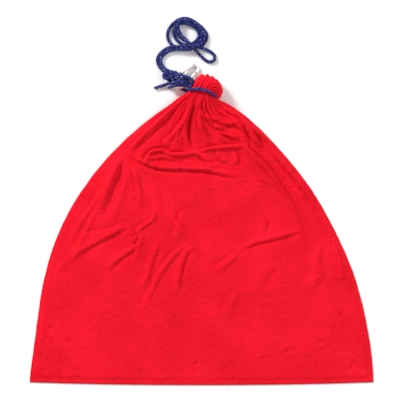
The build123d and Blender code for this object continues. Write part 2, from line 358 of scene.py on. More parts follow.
# The coil's turns: angle from +X about its middle, in degrees, distance from it and height, in mm.
OUTER_HALF = [(-92, 35.1, 11.5), (-75, 36, 7.5), (-41, 45.5, ON_FLOOR), (-19, 51.2, ON_FLOOR),
              (4, 46.9, ON_FLOOR), (17, 41, ON_FLOOR), (38, 35.1, ON_FLOOR), (68, 34.9, ON_FLOOR),
              (85, 38.2, ON_FLOOR), (119, 43.5, ON_FLOOR), (139, 44.5, ON_FLOOR),
              (163, 49, ON_FLOOR), (186, 54.1, ON_FLOOR), (213, 50.7, ON_FLOOR),
              (226, 46.3, ON_FLOOR), (240, 40.2, ON_FLOOR), (256, 33.3, ON_FLOOR),
              (278, 27, ON_FLOOR), (309, 27.2, ON_FLOOR), (357, 28.5, ON_FLOOR), (384, 26, 6),
              (423, 23, 10.5), (453, 25.5, 9.5), (481, 31.5, 8), (498, 36.5, 9), (511, 38.5, 11.5),
              (523, 35.5, 11.5), (538, 29, 9), (557, 23, 8)]
INNER_HALF = [(-92, 39.5, 11.5), (-75, 39, 11), (-41, 40, 10), (-23, 44.6, 9.2), (-9, 44.3, 9.2),
              (4, 41, 9.2), (17, 34.5, 9), (38, 28.3, 7), (68, 27.5, ON_FLOOR), (90, 31, ON_FLOOR),
              (119, 36, ON_FLOOR), (139, 36.5, ON_FLOOR), (164, 37, ON_FLOOR), (195, 35, ON_FLOOR),
              (216, 31.1, ON_FLOOR), (240, 29.6, 8), (262, 29.5, 12.4), (285, 31, 12.2),
              (318, 34.5, 6), (337, 35.4, ON_FLOOR), (371, 34.2, 5), (384, 33, 9), (423, 31, 11.3),
              (453, 34.7, 11.5), (481, 39.7, 13), (491, 38, 16), (507, 31, 17), (524, 24.1, 14)]
TURN_STEPS = 16
# From the coil, over its lower strands to the bight, round it, and back over everything.
BIGHT = [(-53, 467.5, 7.5), (-43.5, 460, 9), (-34, 454, 15.5), (-24.5, 449.2, 19), (-15, 445.3, 16),
         (-5, 442.5, 10), (5, 439.8, 6), (18, 434.7, ON_FLOOR), (28, 428, ON_FLOOR),
         (33.5, 420, ON_FLOOR), (33, 411.5, ON_FLOOR), (27, 406.3, ON_FLOOR), (17.5, 406.5, ON_FLOOR),
         (8, 411.7, ON_FLOOR), (-1.5, 420.5, 4.8), (-11, 431, 11), (-20.5, 441.5, 20.5),
         (-30, 451, 26), (-39.7, 460.7, 20), (-49, 471, 14.5)]


def turns(stations):
    """Control points round the coil, an even angle apart, between its stated stations."""
    angles, reaches, heights = np.array(stations).T
    count = round((angles[-1] - angles[0]) / 360 * TURN_STEPS)
    points = []
    for angle in np.linspace(angles[0], angles[-1], count + 1):
        reach = np.interp(angle, angles, reaches)
        turned = math.radians(angle)
        points.append((COIL_MIDDLE[0] + reach * math.cos(turned), COIL_MIDDLE[1] + reach * math.sin(turned),
                       np.interp(angle, angles, heights)))
    return points


def line_route():
    """The whole line: out along one half, round the coil to the bight, and back."""
    out = LEAD_OUTER + turns(OUTER_HALF)
    back = LEAD_INNER + turns(INNER_HALF)
    return out + BIGHT + back[::-1]


KNOT_AT = (-79, 372, 13.6)
KNOT_TURN = math.radians(-20)
KNOT_WIDE = 1.2  # how much wider than high it is pulled
KNOT_ROUNDS, KNOT_BENDS = 3, 4  # times the cord winds round, and its bends at each end
KNOT_REACH = 14.5  # from the middle to the bends, mm
KNOT_RADIUS, KNOT_OVAL = 9.2, 17.5  # the ball's radius and half its length, mm
KNOT_WEAVE = 1.9  # how far the cord rises and dips where it crosses itself, mm


def knot_line():
    """A woven ball: a cord that winds round it, crossing itself over and under."""
    t = np.linspace(0, 2 * math.pi * KNOT_ROUNDS, 900, endpoint=False)
    swing = KNOT_BENDS * t / KNOT_ROUNDS
    x = KNOT_REACH * np.sin(swing)
    radius = KNOT_RADIUS * np.sqrt(np.clip(1 - (x / KNOT_OVAL) ** 2, 0, 1))
    radius = radius + KNOT_WEAVE * np.sin(2 * swing) - 0.6
    y, z = KNOT_WIDE * radius * np.cos(t), radius * np.sin(t)
    c, s = math.cos(KNOT_TURN), math.sin(KNOT_TURN)
    points = np.stack([x * c - y * s, x * s + y * c, z], axis=1) + KNOT_AT
    return evenly(np.vstack([points, points[:1]]) * MM)[:-1]


HITCH_RADIUS = 8.5 * MM  # from the bar's middle to the cord's
BAR_RUNS = (0.846, 0.533, 0)  # the direction of the hook's bar in the hitch


def joint_named(name):
    return next(joint for joint in frame["joints"] if joint["name"] == name)


def hitch_line():
    """The turn of cord round the hook's bar, at the hook's own pivot."""
    joint = joint_named("hook_swing")
    at, up, bar = Vector(joint["pos_m"]), Vector(joint["axis"]), Vector(BAR_RUNS)
    across = (bar - up * bar.dot(up)).normalized().cross(up)
    angles = np.linspace(0, 2 * math.pi, 66, endpoint=False)
    steps = [up * (HITCH_RADIUS * math.cos(a)) + across * (HITCH_RADIUS * math.sin(a)) for a in angles]
    return np.array([(at + step)[:] for step in steps])


def cords():
    """Every cord as a braid, in the place of its CAD tubes."""
    material = cord_material()
    pieces = []
    for name, route, node in (("neck_tie_cord", NECK_TIE, "neck_tie"),
                              ("hook_lashing_cord", LASHING, "lashing_cord"),
                              ("tucked_cord", TUCKED, "tucked_strand")):
        pieces.append(braided(name, smooth_line(name, millimetres(route)), material))
        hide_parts(node)
    knot = braided("woven_knot", knot_line(), material, closed=True)
    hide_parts("hitch_knot")
    hitch = braided("hitch_turn", hitch_line(), material, closed=True)
    points = smooth_line("line", millimetres(line_route()))
    line = braided("doubled_line", points, material)
    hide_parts("line_lead_outer", "line_lead_inner", "line_coil", "line_bight")
    for piece in pieces + [knot, hitch, line]:
        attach(piece, "bag")


# ---------------------------------------------------------------- cloth
# The bag's outline in mm: Y, then X of its left and right edges.
OUTLINE = [(-401, -429, 429), (-391, -428.5, 429), (-289, -416, 419), (-129, -391, 381), (-9, -351, 329),
           (91, -294, 271), (191, -211, 191), (271, -119, 109), (286, -97, 88), (306, -66, 56),
           (322, -36, 36), (331, -30, 33), (340, -22, 38)]
# Its sections: Y, height of the layers' middle, and how far the cloth stands above and below it.
RISE = [(-401, 1.6, 0.6, 0.4), (-380, 1.6, 1.0, 0.7), (-200, 1.6, 3.4, 0.8), (0, 1.7, 7, 0.9),
        (120, 2.5, 12, 1.6), (210, 6, 15, 5), (260, 11, 15, 10), (286, 15, 15, 13.5),
        (306, 20, 18.5, 18), (322, 24, 18, 19), (331, 26, 15, 15.5), (340, 26, 15, 15)]
HEM_LOW = -401.0  # Y of the hem's middle
HEM_BOW = 7.0  # how much higher than its middle the hem's ends lie
NECK_LEAN = math.radians(12.5)  # how far the line of the tie is turned
NECK_X = 2  # X of the point that it is turned about
ACROSS = 212  # columns of the cloth
TIE_AT = 331.0  # Y of the tie
CLOTH_THICK = 0.9
SOFT_HOLD = 0.35  # how strongly the cloth is held to its folds as it settles, 0 to 1
LIFT_MOST = 13.0  # no fold stands higher or lies deeper than this, mm


def curve_through(at, places, values):
    """A smooth curve through stated values."""
    places, values = np.asarray(places, float), np.asarray(values, float)
    steps = np.diff(values) / np.diff(places)
    slopes = np.r_[steps[0], (steps[1:] + steps[:-1]) / 2, steps[-1]]
    i = np.clip(np.searchsorted(places, at) - 1, 0, len(places) - 2)
    gap = places[i + 1] - places[i]
    t = np.clip((at - places[i]) / gap, 0, 1)
    return (values[i] * (1 + 2 * t) * (1 - t) ** 2 + values[i + 1] * t * t * (3 - 2 * t)
            + gap * (slopes[i] * t * (1 - t) ** 2 - slopes[i + 1] * t * t * (1 - t)))


def smooth_step(value, low, high):
    """0 up to the low value, 1 from the high one on, and a soft rise between them."""
    t = np.clip((value - low) / (high - low), 0, 1)
    return t * t * (3 - 2 * t)


def ripple(x, y, seed, size):
    """Soft, even noise of about -1 to 1, made of a few crossing waves."""
    rng = np.random.default_rng(seed)
    total = np.zeros_like(x)
    for _ in range(9):
        angle, phase = rng.uniform(0, math.pi), rng.uniform(0, 2 * math.pi)
        length = size * rng.uniform(0.7, 1.5)
        total += np.sin(2 * math.pi * (x * math.cos(angle) + y * math.sin(angle)) / length + phase)
    return total / 4.5


# Folds of the front layer. Each is a groove with a soft ridge on one side of it: its line in mm, its
# width, its depth, and which side the ridge is on (1 is the left of its direction).
FOLDS = [
    ([(-64, 305), (-90, 284), (-116, 261), (-157, 219), (-192, 182)], 6, 4.4, 1),
    ([(-38, 312), (-70, 284), (-112, 246), (-150, 208), (-176, 176)], 8, 3.4, -1),
    ([(-9, 322), (-22, 290), (-31, 262), (-34, 233), (-30, 208), (-14, 183)], 5, 7.5, -1),
    ([(-20, 318), (-42, 280), (-60, 240), (-72, 205), (-82, 192)], 9, 4.5, 1),
    ([(-12, 312), (-30, 268), (-52, 232), (-60, 200), (-66, 190)], 7, 3.6, -1),
    ([(-142, 154), (-142, 171), (-126, 187), (-101, 191), (-75, 182), (-43, 182), (-8, 180)], 5, 6.0, -1),
    ([(-16, 182), (8, 192), (34, 197), (68, 200), (112, 202)], 5, 4.8, -1),
    ([(-192, 176), (-162, 158), (-126, 141), (-101, 136), (-46, 133), (11, 130), (48, 121), (102, 112)],
     6, 5.6, 1),
    ([(-60, 168), (-38, 172), (-18, 172), (2, 160), (16, 146), (40, 136)], 6, 3.6, 1),
    ([(-150, 150), (-140, 172), (-120, 180)], 8, 3.4, -1),
    ([(6, 316), (-1, 297), (5, 281), (22, 263)], 4, 6.0, -1),
    ([(11, 309), (11, 290), (22, 271), (34, 262)], 4, 6.5, -1),
    ([(17, 305), (27, 281), (38, 270), (52, 264)], 4, 5.5, -1),
    ([(24, 300), (40, 280), (60, 268), (84, 252)], 5, 4.0, -1),
    ([(8, 285), (14, 258), (34, 238), (66, 231)], 6, 4.2, 1),
    ([(14, 268), (38, 252), (66, 244), (92, 240)], 6, 3.4, 1),
    ([(26, 246), (56, 222), (82, 212), (98, 209)], 6, 3.2, 1),
    ([(4, 270), (10, 240), (22, 216), (40, 203)], 7, 3.0, -1),
    ([(43, 289), (75, 273), (96, 259), (110, 240), (134, 184)], 7, 8.0, 1),
    ([(54, 296), (92, 268), (120, 244), (140, 220), (164, 180)], 6, 6.0, -1),
    ([(99, 266), (164, 224), (200, 190), (256, 111), (294, 39), (334, -41), (354, -84)], 6, 7.0, 1),
    ([(60, 300), (110, 264), (160, 226), (206, 182), (252, 118)], 7, 6.0, -1),
    ([(136, 216), (160, 190), (176, 173), (229, 111), (259, 74), (319, -41), (349, -146), (371, -229),
      (426, -359)], 7, 8.0, 1),
    ([(97, 237), (126, 189), (161, 154), (199, 109), (246, 39), (281, -16)], 7, 8.0, -1),
    ([(110, 190), (128, 150), (134, 128), (150, 104), (182, 78)], 8, 3.0, 1),
    ([(94, 100), (132, 62), (158, 26), (169, 0), (150, -38)], 8, 4.0, -1),
    ([(97, -70), (128, -54), (170, -44), (220, -32), (256, -22)], 7, 5.4, 1),
    ([(84, -64), (52, -90), (26, -104)], 10, 4.0, 1),
    ([(319, -34), (299, -91), (309, -126), (276, -166), (254, -194)], 10, 4.4, -1),
    ([(91, -146), (64, -186), (39, -228)], 13, 3.4, 1),
    ([(-191, 171), (-210, 116), (-228, 66), (-246, 16)], 12, 6.4, -1),
    ([(-181, 144), (-169, 104), (-164, 31)], 8, 5.4, 1),
    ([(-195, 140), (-204, 92), (-226, 40), (-238, 4)], 9, 3.8, 1),
    ([(-181, 11), (-168, -15), (-160, -30), (-166, -60)], 7, 5.0, -1),
    ([(-154, -9), (-166, -56), (-176, -90)], 8, 4.4, 1),
    ([(-131, 56), (-126, 20), (-148, 4), (-162, -8), (-171, -54)], 6, 4.8, 1),
    ([(-191, 9), (-230, -8), (-264, -14), (-290, -20)], 9, 5.2, 1),
    ([(-181, -8), (-216, -28), (-254, -47), (-299, -76), (-331, -106)], 7, 5.4, -1),
    ([(-139, -44), (-171, -69), (-206, -95), (-232, -124)], 7, 4.6, -1),
    ([(-64, 52), (-62, 30), (-53, 0), (-24, -28), (-2, -57), (16, -80)], 7, 5.6, -1),
    ([(-28, -42), (-50, -50), (-78, -74), (-104, -106), (-138, -170), (-160, -228)], 7, 6.0, 1),
    ([(-94, -38), (-106, -62), (-114, -88), (-124, -128), (-140, -180)], 8, 4.2, -1),
    ([(-14, -56), (-32, -72), (-40, -92), (-48, -128), (-52, -186)], 7, 5.0, -1),
    ([(-60, 40), (-66, 0), (-80, -40)], 11, 3.6, 1),
    ([(-394, -189), (-400, -240), (-411, -296)], 7, 3.4, -1),
    ([(-299, -209), (-309, -226)], 9, 2.6, 1),
    ([(-251, -246), (-251, -281)], 9, 2.6, -1),
    ([(-262, 52), (-286, 8), (-310, -40), (-330, -84)], 7, 3.8, 1),
    ([(-250, 92), (-280, 50), (-312, 6), (-340, -50)], 6, 3.6, 1),
    ([(-320, -90), (-338, -112), (-347, -137), (-343, -190)], 12, 3.0, -1),
    ([(22, -262), (12, -300), (11, -345), (14, -380)], 14, 2.2, 1),
    ([(-198, -232), (-211, -256)], 10, 2.6, 1),
    ([(-212, 190), (-262, 140), (-305, 78), (-345, 0), (-374, -80), (-398, -180)], 5, 4.4, -1),
    ([(-120, 272), (-180, 222), (-236, 168), (-286, 104)], 5, 4.6, -1),
    ([(-24, 306), (-52, 262), (-84, 222), (-110, 200)], 6, 3.6, 1),
    ([(-48, 300), (-88, 262), (-130, 216), (-150, 190)], 5, 3.2, -1),
    ([(0, 300), (-12, 268), (-8, 236), (4, 214)], 6, 3.4, 1),
    ([(30, 292), (56, 268), (84, 246), (112, 214)], 5, 3.4, 1),
    ([(20, 258), (46, 236), (74, 226), (104, 222)], 4.5, 3.0, -1),
    ([(36, 232), (64, 214), (90, 198)], 5, 2.6, -1),
    ([(-100, 214), (-96, 196), (-84, 186)], 6, 3.0, 1),
    ([(-60, 164), (-20, 160), (24, 154), (60, 160)], 6, 2.8, -1),
    ([(30, 186), (40, 160), (60, 146)], 6, 2.8, 1),
    ([(84, 190), (96, 166), (92, 142)], 7, 2.6, -1),
    ([(-124, 158), (-96, 162), (-64, 152)], 6, 2.4, 1),
    ([(170, 150), (205, 96), (236, 40), (262, -20), (280, -70)], 9, 3.8, -1),
    ([(10, 110), (40, 60), (52, 10), (40, -40)], 20, 2.2, 1),
    ([(-110, 110), (-96, 60), (-92, 10)], 14, 2.4, -1),
    ([(200, -100), (160, -150), (150, -200)], 16, 2.2, -1),
    ([(-20, -200), (-30, -260), (-24, -320)], 18, 1.4, 1),
    ([(180, -230), (190, -290), (184, -350)], 18, 1.4, -1),
    ([(320, -220), (344, -290), (362, -350)], 12, 2.0, 1),
]


def fold_field(x, y, folds):
    """How far the folds lift or lower the cloth at each place."""
    total = np.zeros_like(x)
    for line, wide, deep, ridge_side in folds:
        knots = np.array(line, float)
        run = run_of(knots)
        places = np.linspace(0, run[-1], max(8, int(run[-1] / 8)))
        path = np.stack([curve_through(places, run, knots[:, axis]) for axis in range(2)], axis=1)
        away = np.full(x.shape, 1e9)
        signed = np.zeros_like(x)
        progress = np.zeros_like(x)
        for start, end, at in zip(path, path[1:], places):
            step = end - start
            length = np.hypot(*step)
            px, py = x - start[0], y - start[1]
            t = np.clip((px * step[0] + py * step[1]) / length ** 2, 0, 1)
            gone = np.hypot(px - t * step[0], py - t * step[1])
            nearer = gone < away
            away = np.where(nearer, gone, away)
            side = np.sign(step[0] * py - step[1] * px)
            signed = np.where(nearer, gone * side, signed)
            progress = np.where(nearer, (at + t * length) / run[-1], progress)
        fade = smooth_step(np.minimum(progress, 1 - progress), 0, 0.3)
        d = signed * ridge_side
        spread = wide * (0.8 + 0.5 * progress)
        groove = -1.0 * np.exp(-(np.abs(d) / (0.48 * spread)) ** 1.25)
        ridge = 1.15 * np.exp(-((d - 1.1 * spread) / (0.95 * spread)) ** 2)
        total += deep * fade * (groove + ridge)
    return total


def pleat_field(s, y):
    """Gathers that start in the tie and open out down the cloth, coarser as they go."""
    total = np.zeros_like(s)
    for count, deep, reach, seed in ((19, 3.4, 24, 3), (12, 6.0, 60, 5), (7, 6.4, 120, 9)):
        wander = 0.35 * ripple(s * 900, y * 0.9, seed, 260)
        phase = count * s + wander
        shape = np.abs(np.sin(math.pi * phase)) ** 0.75 - 0.62
        strength = np.exp(-np.clip(TIE_AT - 9 - y, 0, None) / reach)
        strength *= 1 - 0.75 * np.exp(-((y - TIE_AT) / 12) ** 2)
        total += deep * shape * strength
    return total


def layer_section(s, y, column):
    """Where a layer runs: X, the layers' middle height, its distance from that, and how round it is."""
    left, right = (curve_through(y, *np.array(OUTLINE).T[[0, k]]) for k in (1, 2))
    middle, stands = (curve_through(y, *np.array(RISE).T[[0, k]]) for k in (1, column))
    round_part = smooth_step(y, 150, 300)
    flat_x = left + (right - left) * s
    round_x = (left + right) / 2 - (right - left) / 2 * np.cos(math.pi * s)
    x = flat_x * (1 - round_part) + round_x * round_part
    return x, right - left, middle, stands, round_part


def bowed_and_leaned(s, x, y, z, lowest):
    """The places with the hem bowed and the neck leaned over, and none below a height."""
    y = y + HEM_BOW * (np.abs(s - 0.5) * 2) ** 2.2 * (1 - smooth_step(y, HEM_LOW, HEM_LOW + 60))
    y = y - (x - NECK_X) * math.tan(NECK_LEAN) * smooth_step(y, 300, TIE_AT)
    return np.stack([x, y, np.maximum(z, lowest)], axis=-1)


def front_surface(s, y):
    """Places on the front layer, in mm: how far across it, and where along it."""
    x, wide, middle, above, round_part = layer_section(s, y, 2)
    z = middle + above * np.sin(math.pi * s).clip(0) ** (0.55 + 0.45 * round_part)
    edge = smooth_step(np.minimum(s, 1 - s) * wide, 0, 9)
    low_fade = smooth_step(y, HEM_LOW + 10, HEM_LOW + 60)
    lively = 0.14 + 0.86 * smooth_step(y, -160, 90)
    waves = (1.3 * ripple(x, y, 11, 95) + 0.6 * ripple(x, y, 12, 42)) * lively
    crisp = 0.42 + 0.34 * smooth_step(y, -210, -80) + 0.84 * smooth_step(y, 40, 190)
    lift = (fold_field(x, y, FOLDS) * crisp + waves) * edge * low_fade
    pleats = pleat_field(s, y) * edge
    out = smooth_step(y, 240, 320)
    angle = math.pi * (1 - s)
    lift = LIFT_MOST * np.tanh(lift / LIFT_MOST) * (1 - 0.55 * out)
    x = x + pleats * np.cos(angle) * out
    z = z + lift + pleats * (np.sin(angle) * out + (1 - out))
    return bowed_and_leaned(s, x, y, z, 1.9)


def back_surface(s, y):
    """Places on the back layer, in mm, which lies flat up to the neck's gathers."""
    x, _, middle, below, _ = layer_section(s, y, 3)
    z = middle - below * np.sin(math.pi * s).clip(0) ** 0.45
    pleats = pleat_field(1 - s, y) * smooth_step(np.minimum(s, 1 - s), 0, 0.04)
    z = z - 0.4 * pleats * smooth_step(y, 285, 320)
    return bowed_and_leaned(s, x, y, z, 0.65)


def grid_mesh(name, points, material, closed=False):
    """A mesh over a grid of places, rows by columns, joined up across its rows if it is closed."""
    rows, columns = points.shape[:2]
    i, j = np.meshgrid(np.arange(rows - 1), np.arange(columns if closed else columns - 1), indexing="ij")
    here, right = i * columns + j, i * columns + (j + 1) % columns
    faces = np.stack([here, right, right + columns, here + columns], axis=-1).reshape(-1, 4)
    mesh = bpy.data.meshes.new(name)
    mesh.from_pydata((points.reshape(-1, 3) * MM).tolist(), [], faces.tolist())
    return smooth_piece(name, mesh, material)


def applied(piece):
    """Turn a piece's modifiers into mesh, so none is left on it."""
    bpy.context.view_layer.update()
    depsgraph = bpy.context.evaluated_depsgraph_get()
    mesh = bpy.data.meshes.new_from_object(piece.evaluated_get(depsgraph))
    piece.modifiers.clear()
    old = piece.data
    piece.data = mesh
    bpy.data.meshes.remove(old)
    mesh.polygons.foreach_set("use_smooth", [True] * len(mesh.polygons))


SIM_FRAMES = 22
SIM_SLACK = 0.028  # how much longer each thread is than the shape it starts in
SIM_CLOTH = {"quality": 7, "mass": 0.02, "tension_stiffness": 22, "compression_stiffness": 22,
             "shear_stiffness": 9, "bending_stiffness": 0.35, "air_damping": 2.5, "pin_stiffness": 1.0,
             "vertex_group_mass": "held", "shrink_min": -SIM_SLACK, "shrink_max": -SIM_SLACK}
GROUND_HALF, GROUND_Z = 0.7, 0.0012  # the level that the cloth settles on, m


def drape(piece, held):
    """Let the cloth settle under its own weight over level ground, held where it is sewn or tied."""
    group = piece.vertex_groups.new(name="held")
    levels = np.round(held.ravel(), 2)
    for level in np.unique(levels):
        if level > 0:
            group.add(np.flatnonzero(levels == level).tolist(), float(level), "REPLACE")
    under = level_square("ground", GROUND_HALF, GROUND_Z)
    under.modifiers.new("collide", "COLLISION")
    under.collision.thickness_outer = 1 * MM
    settling = piece.modifiers.new("cloth", "CLOTH")
    for setting, value in SIM_CLOTH.items():
        setattr(settling.settings, setting, value)
    settling.collision_settings.distance_min = 1 * MM
    settling.collision_settings.use_self_collision = False
    settling.point_cache.frame_start = 1
    settling.point_cache.frame_end = SIM_FRAMES
    scene = bpy.context.scene
    scene.frame_start = 1
    scene.frame_end = SIM_FRAMES
    for moment in range(1, SIM_FRAMES + 1):
        scene.frame_set(moment)
    applied(piece)
    piece.vertex_groups.clear()
    bpy.data.objects.remove(under)
    scene.frame_set(1)


def thicken(piece, thick=CLOTH_THICK, offset=-1):
    """Give cloth its thickness in mm: to both sides if the offset is 0, inwards if it is -1."""
    solid = piece.modifiers.new("thick", "SOLIDIFY")
    solid.thickness = thick * MM
    solid.offset = offset
    applied(piece)


def cloth_rows():
    """Y of the cloth's rows, closer together where it is more folded."""
    low = np.linspace(HEM_LOW, -150, 42, endpoint=False)
    folded = np.linspace(-150, 232, 122, endpoint=False)
    return np.r_[low, folded, np.linspace(232, 338, 56)]


RED = [(0.32, (0.66, 0.0045, 0.015, 1)), (0.68, (0.84, 0.0085, 0.026, 1))]
WEAVE = 0.9 * MM  # from one thread to the next but one


def cloth_material():
    """Soft woven cotton: a fine crossed weave, uneven yarns, faint creases and a little sheen."""
    mat, bsdf, nodes, links = new_material("red_woven_cloth")
    place = object_place(nodes)
    tone = noise(nodes, links, place, 9, 6)
    slub = noise(nodes, links, stretched(nodes, links, place, (900, 60, 60)), 1, 3)
    mixed = math_node(nodes, links, "ADD", math_node(nodes, links, "MULTIPLY", tone.outputs[0], 0.65),
                      math_node(nodes, links, "MULTIPLY", slub.outputs[0], 0.35))
    colour_by(nodes, links, bsdf, mixed, RED)
    bsdf.inputs["Roughness"].default_value = 0.82
    bsdf.inputs["Specular IOR Level"].default_value = 0.06
    bsdf.inputs["Sheen Weight"].default_value = 0.04
    bsdf.inputs["Sheen Roughness"].default_value = 0.5
    bsdf.inputs["Sheen Tint"].default_value = (1.0, 0.25, 0.25, 1)
    split = nodes.new("ShaderNodeSeparateXYZ")
    links.new(place, split.inputs[0])
    warp, weft = (math_node(nodes, links, "SINE", math_node(nodes, links, "MULTIPLY", split.outputs[k],
                                                            2 * math.pi / WEAVE)) for k in (0, 1))
    threads = math_node(nodes, links, "MULTIPLY", warp, weft)
    crease = noise(nodes, links, place, 46, 5)
    crease.inputs["Roughness"].default_value = 0.6
    fine = bump(nodes, links, threads, 0.22, 0.15 * MM)
    links.new(bump(nodes, links, crease.outputs[0], 0.35, 1.2 * MM, under=fine), bsdf.inputs["Normal"])
    return mat


# The ruff above the tie: along its lean, then the half width, half height, and height of the middle.
RUFF = [(-6, 27, 10, 25), (1, 32, 12, 25), (6, 36, 17, 25.5), (13, 36.5, 22, 25.5), (22, 37, 23.5, 25),
        (31, 33, 22.5, 24.5), (39, 27, 19, 24), (44, 20, 14, 23.5), (47, 11, 8, 23), (48, 0.4, 0.4, 22.5)]
RUFF_LEAN = math.radians(20)
# Points of cloth along its top: place across it, half width and height, mm.
RUFF_PEAKS = [(-24, 4.2, 6.5), (-11, 3.8, 6.5), (3, 3.6, 5), (15, 5, 2)]
RUFF_AT = (8.4, 322.5)
# Folds over the ruff: (line along its width and length in mm, width, depth, side of the ridge).
RUFF_FOLDS = [
    ([(-17, 4), (-15, 18), (-13, 30), (-13, 44)], 2.4, 3.0, 1),
    ([(-9, 4), (-7, 18), (-5, 30), (-4, 44)], 2.4, 4.2, -1),
    ([(-2, 5), (0, 18), (3, 30), (4, 42)], 2.2, 3.6, -1),
    ([(1, 6), (5, 22), (11, 32), (20, 33), (28, 26), (30, 15)], 2.3, 4.4, -1),
    ([(5, 5), (9, 18), (15, 26), (22, 25), (25, 18), (23, 10)], 2.1, 4.2, -1),
    ([(9, 5), (13, 14), (18, 18), (20, 14), (17, 9)], 1.9, 3.4, -1),
    ([(-26, 6), (-24, 18), (-20, 30)], 2.6, 2.4, 1),
    ([(30, 2), (34, 12), (33, 22)], 2.2, 3.0, 1),
]
RUFF_AROUND, RUFF_ROWS = 220, 96


def ruff(material):
    """The bunched cloth above the tie: upright gathers on its left, curled ones on its right."""
    along = np.linspace(RUFF[0][0], RUFF[-1][0], RUFF_ROWS)
    wide, high, middle = (curve_through(along, *np.array(RUFF).T[[0, k]]) for k in (1, 2, 3))
    angle = np.linspace(0, 2 * math.pi, RUFF_AROUND, endpoint=False)
    a, v = np.meshgrid(angle, along)
    w, h, m = (np.repeat(part[:, None], RUFF_AROUND, axis=1) for part in (wide, high, middle))
    pleats = (np.abs(np.sin(6.5 * a + 0.6 * np.sin(3 * a) + 0.03 * v)) ** 0.8 - 0.6) * 2.2
    pleats += (np.abs(np.sin(3 * a + 1.1 + 0.5 * np.sin(2 * a))) ** 0.8 - 0.6) * 2.0
    pleats *= 1 - smooth_step(v, 42, 48)
    x, z = w * np.cos(a), h * np.sin(a)
    upper = smooth_step(z / h, 0.15, 0.5)
    out = fold_field(x, v, RUFF_FOLDS) * upper + pleats * (1 - 0.8 * upper)
    peaks = sum(tall * np.exp(-((x - at) / broad) ** 2) for at, broad, tall in RUFF_PEAKS)
    peaks = (peaks - 1.5) * smooth_step(v, 26, 44)
    norm = np.sqrt((x / w.clip(1) ** 2) ** 2 + (z / h.clip(1) ** 2) ** 2).clip(1e-6)
    nx, nz = x / w.clip(1) ** 2 / norm, z / h.clip(1) ** 2 / norm
    taper = smooth_step(w, 2, 14)
    x, z = x + nx * out * taper, z + nz * out * taper + m
    v = v + peaks
    c, s = math.cos(RUFF_LEAN), math.sin(RUFF_LEAN)
    points = np.stack([RUFF_AT[0] + x * c + v * s, RUFF_AT[1] - x * s + v * c, np.maximum(z, 0.7)], axis=-1)
    piece = grid_mesh("ruff", points, material, closed=True)
    thicken(piece)
    return piece


def sideways(line):
    """The level direction to the right of a line, at each of its points."""
    step = np.gradient(line, axis=0)
    side = np.stack([step[:, 1], -step[:, 0], np.zeros(len(line))], axis=1)
    return side / np.linalg.norm(side, axis=1)[:, None]


def strip(name, centre, outward, section, material, closed=False):
    """A narrow band of cloth along a line: its section is stated as (outward, up) steps in mm."""
    away, up = np.array(section, float).T
    points = centre[:, None] + outward[:, None] * away[:, None] + np.outer(up, (0, 0, 1))
    return grid_mesh(name, points, material, closed)


def side_seam(name, node, s_edge, sign, material):
    """The rolled seam down one side, where the two layers are joined."""
    y = np.linspace(HEM_LOW + 8, 290, 260)
    s = np.full_like(y, s_edge)
    centre = (front_surface(s, y) + back_surface(s, y)) / 2
    outward = sideways(centre) * sign
    wobble = 0.35 * ripple(centre[:, 0], centre[:, 1], 21, 34)
    turn = np.linspace(0, 2 * math.pi, 12, endpoint=False)
    section = [(1.7 * math.cos(a) - 1.0, 0.95 * math.sin(a)) for a in turn]
    piece = strip(name, centre + outward * wobble[:, None], outward, section, material, closed=True)
    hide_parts(node)
    return piece


HEM_DEEP = 7.5
HEM_THICK = 0.5
# The hem's section: steps outward and up, mm.
HEM_SECTION = [(-HEM_DEEP, 2.35), (-HEM_DEEP + 0.1, 3.1), (-HEM_DEEP * 0.7, 3.35), (-HEM_DEEP * 0.35, 3.3),
               (-0.8, 2.9), (0.15, 1.9), (-0.2, 0.9), (-2.5, 0.6)]
STITCH = 3.0  # from one stitch to the next, mm
STITCH_LONG, STITCH_RADIUS, STITCH_HIGH = 2.3, 0.34, 3.42  # mm
STITCH_ROW = HEM_DEEP - 1.4  # from the hem's edge to the stitches, mm
STITCH_SIDES, STITCH_RINGS = 8, 5


def hem(material):
    """The turned hem: cloth folded up over the edge, with its cut edge under the stitches."""
    s = np.linspace(0.004, 0.996, 420)
    edge = front_surface(s, np.full_like(s, HEM_LOW))
    edge[:, 2] = 0
    outward = sideways(edge)
    edge[:, 2] = 0.22 * ripple(edge[:, 0], edge[:, 1], 31, 26)
    piece = strip("turned_hem", edge, outward, HEM_SECTION, material)
    thicken(piece, thick=HEM_THICK)
    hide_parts("hem_fold")
    return piece, edge, outward


def stitches(edge, outward, material):
    """A row of short stitches along the hem."""
    verts, faces = [], []
    run = run_of(edge)
    sides = np.arange(STITCH_SIDES)
    angle = 2 * math.pi * sides[:, None] / STITCH_SIDES
    up = np.array([0, 0, 1.0])
    for at in np.arange(6, run[-1] - 6, STITCH):
        here, ahead, away = at_run(at, run, edge), at_run(at + 1, run, edge), at_run(at, run, outward)
        base = len(verts)
        for t in np.linspace(0, 1, STITCH_RINGS):
            thick = STITCH_RADIUS * math.sin(math.pi * (0.12 + 0.76 * t))
            middle = here - away * STITCH_ROW + (ahead - here) * (t * STITCH_LONG)
            middle = middle + up * (STITCH_HIGH + 0.25 * math.sin(math.pi * t))
            verts.extend((middle + (away * np.cos(angle) + up * np.sin(angle)) * thick).tolist())
        for low in range(base, len(verts) - STITCH_SIDES, STITCH_SIDES):
            high = low + STITCH_SIDES
            right = (sides + 1) % STITCH_SIDES
            faces.extend(np.stack([low + sides, low + right, high + right, high + sides], axis=1).tolist())
        faces.append((base + sides)[::-1].tolist())
        faces.append((len(verts) - STITCH_SIDES + sides).tolist())
    mesh = bpy.data.meshes.new("hem_stitches")
    mesh.from_pydata((np.array(verts) * MM).tolist(), [], faces)
    piece = smooth_piece("hem_stitches", mesh, material)
    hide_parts("hem_thread")
    return piece


